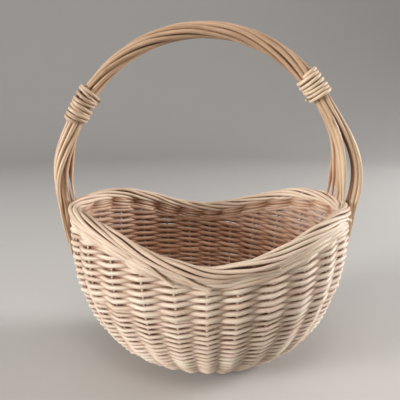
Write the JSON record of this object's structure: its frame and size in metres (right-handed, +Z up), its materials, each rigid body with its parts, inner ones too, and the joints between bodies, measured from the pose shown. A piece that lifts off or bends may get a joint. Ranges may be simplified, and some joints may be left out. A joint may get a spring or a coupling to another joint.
{
  "type": "woven market basket",
  "caption": "Oval boat-shaped willow basket with a dipped rim, rolled border and a fixed arched handle of roped rods bound at both shoulders.",
  "frame": {"origin": "centre of the flat underside of the base, on the surface the basket stands on", "axes": "+X towards the right end of the basket seen from the front, -Y towards the front, +Z up through the top of the handle"},
  "size_m": [0.3953, 0.2678, 0.4323],
  "materials": {
    "weavers": "satin",
    "stakes": "satin",
    "border": "satin",
    "handle": "satin",
    "binding": "satin"
  },
  "bodies": {
    "root": {"base_weave": "weavers", "base_stick_long_1": "stakes", "base_stick_long_2": "stakes", "base_stick_long_3": "stakes", "base_stick_short_1": "stakes", "base_stick_short_2": "stakes", "base_stick_short_3": "stakes", "base_stick_short_4": "stakes", "base_stick_short_5": "stakes", "foot_wale": "weavers", "siding_lower": "weavers", "siding_upper": "weavers", "top_wale": "weavers", "stake_1": "stakes", "stake_2": "stakes", "stake_3": "stakes", "stake_4": "stakes", "stake_5": "stakes", "stake_6": "stakes", "stake_7": "stakes", "stake_8": "stakes", "stake_9": "stakes", "stake_10": "stakes", "stake_11": "stakes", "stake_12": "stakes", "stake_13": "stakes", "stake_14": "stakes", "stake_15": "stakes", "stake_16": "stakes", "stake_17": "stakes", "stake_18": "stakes", "stake_19": "stakes", "stake_20": "stakes", "stake_21": "stakes", "stake_22": "stakes", "stake_23": "stakes", "stake_24": "stakes", "stake_25": "stakes", "stake_26": "stakes", "border_strand_1": "border", "border_strand_2": "border", "border_strand_3": "border", "handle_bow": "handle", "handle_rod_1": "handle", "handle_rod_2": "handle", "handle_rod_3": "handle", "handle_rod_4": "handle", "handle_rod_5": "handle", "handle_rod_6": "handle", "handle_rod_7": "handle", "handle_rod_8": "handle", "binding_left": "binding", "binding_right": "binding"}
  },
  "joints": []
}
